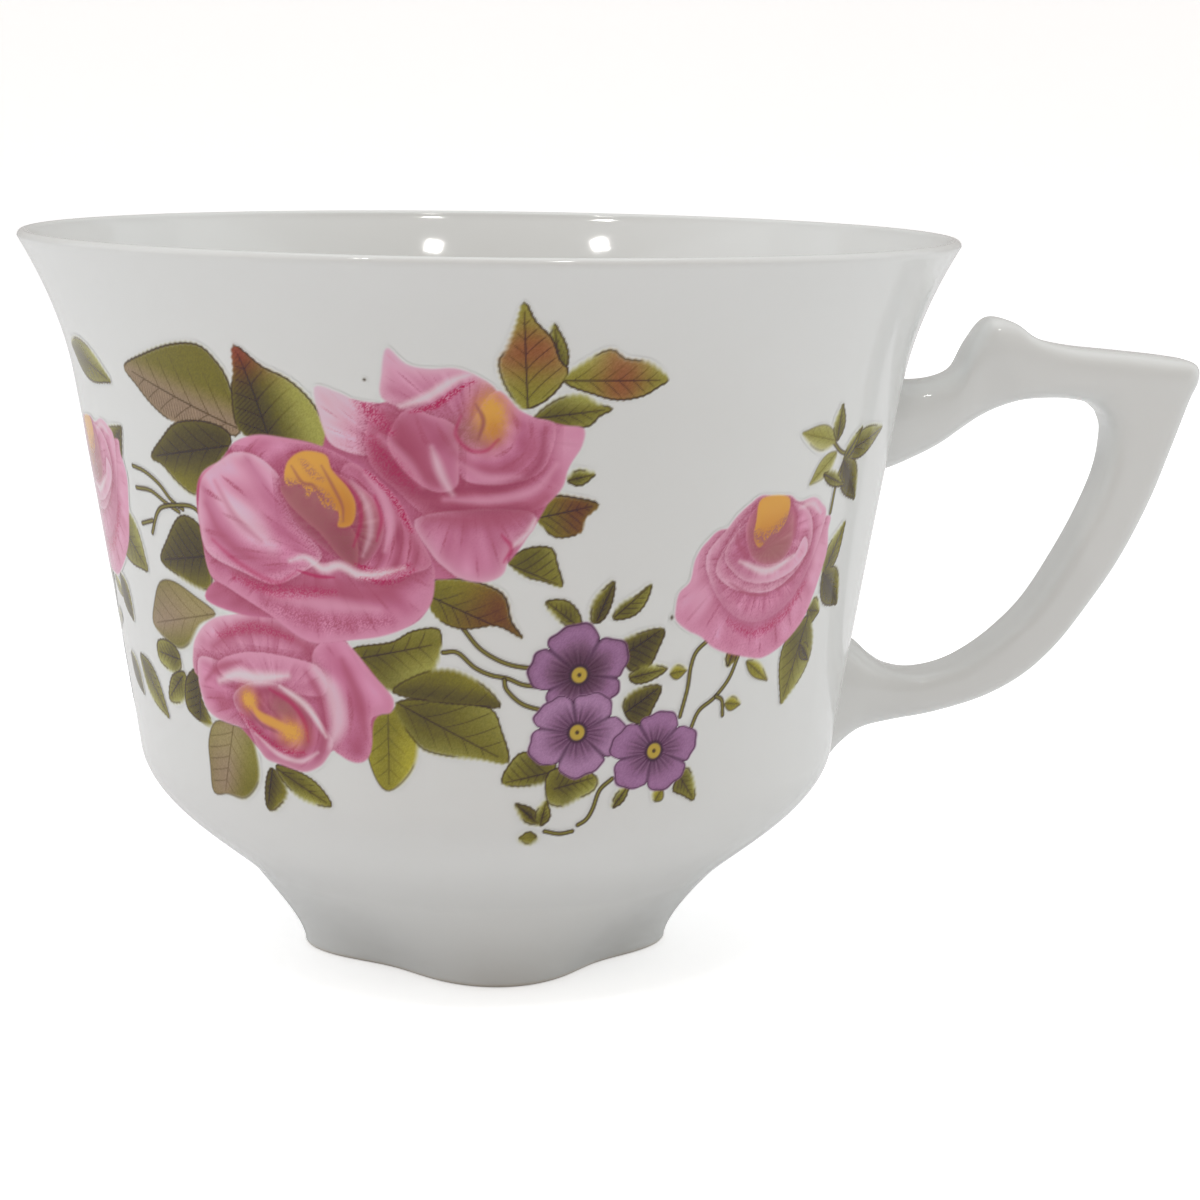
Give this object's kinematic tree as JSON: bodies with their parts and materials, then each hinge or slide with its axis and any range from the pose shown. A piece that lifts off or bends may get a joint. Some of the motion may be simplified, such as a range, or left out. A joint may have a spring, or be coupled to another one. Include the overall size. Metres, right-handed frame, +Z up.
{
  "type": "teacup",
  "caption": "Glazed porcelain teacup with flared lip, lobed foot ring, angular handle with thumb spur, and fired floral transfers.",
  "frame": {"origin": "on the plane the foot rests on, under the middle of the whole footprint from the bowl's far side to the handle; the cup's own axis is 12.7 mm towards -X", "axes": "+Z up along the cup's axis, +X from the bowl to the handle, +Y completes a right-handed frame, with the main printed spray facing -Y"},
  "size_m": [0.1154, 0.09, 0.0702],
  "materials": {
    "porcelain": "clear-glazed white porcelain, glossy and opaque",
    "slip": "fired porcelain slip, opaque",
    "transfer": "overglaze enamel transfer in pink, violet and olive, fired glossy"
  },
  "bodies": {
    "root": {"bowl": "porcelain", "foot": "porcelain", "foot_slip_joint": "slip", "handle": "porcelain", "upper_slip_joint": "slip", "lower_slip_joint": "slip", "front_spray_transfer": "transfer", "back_spray_transfer": "transfer"}
  },
  "joints": []
}
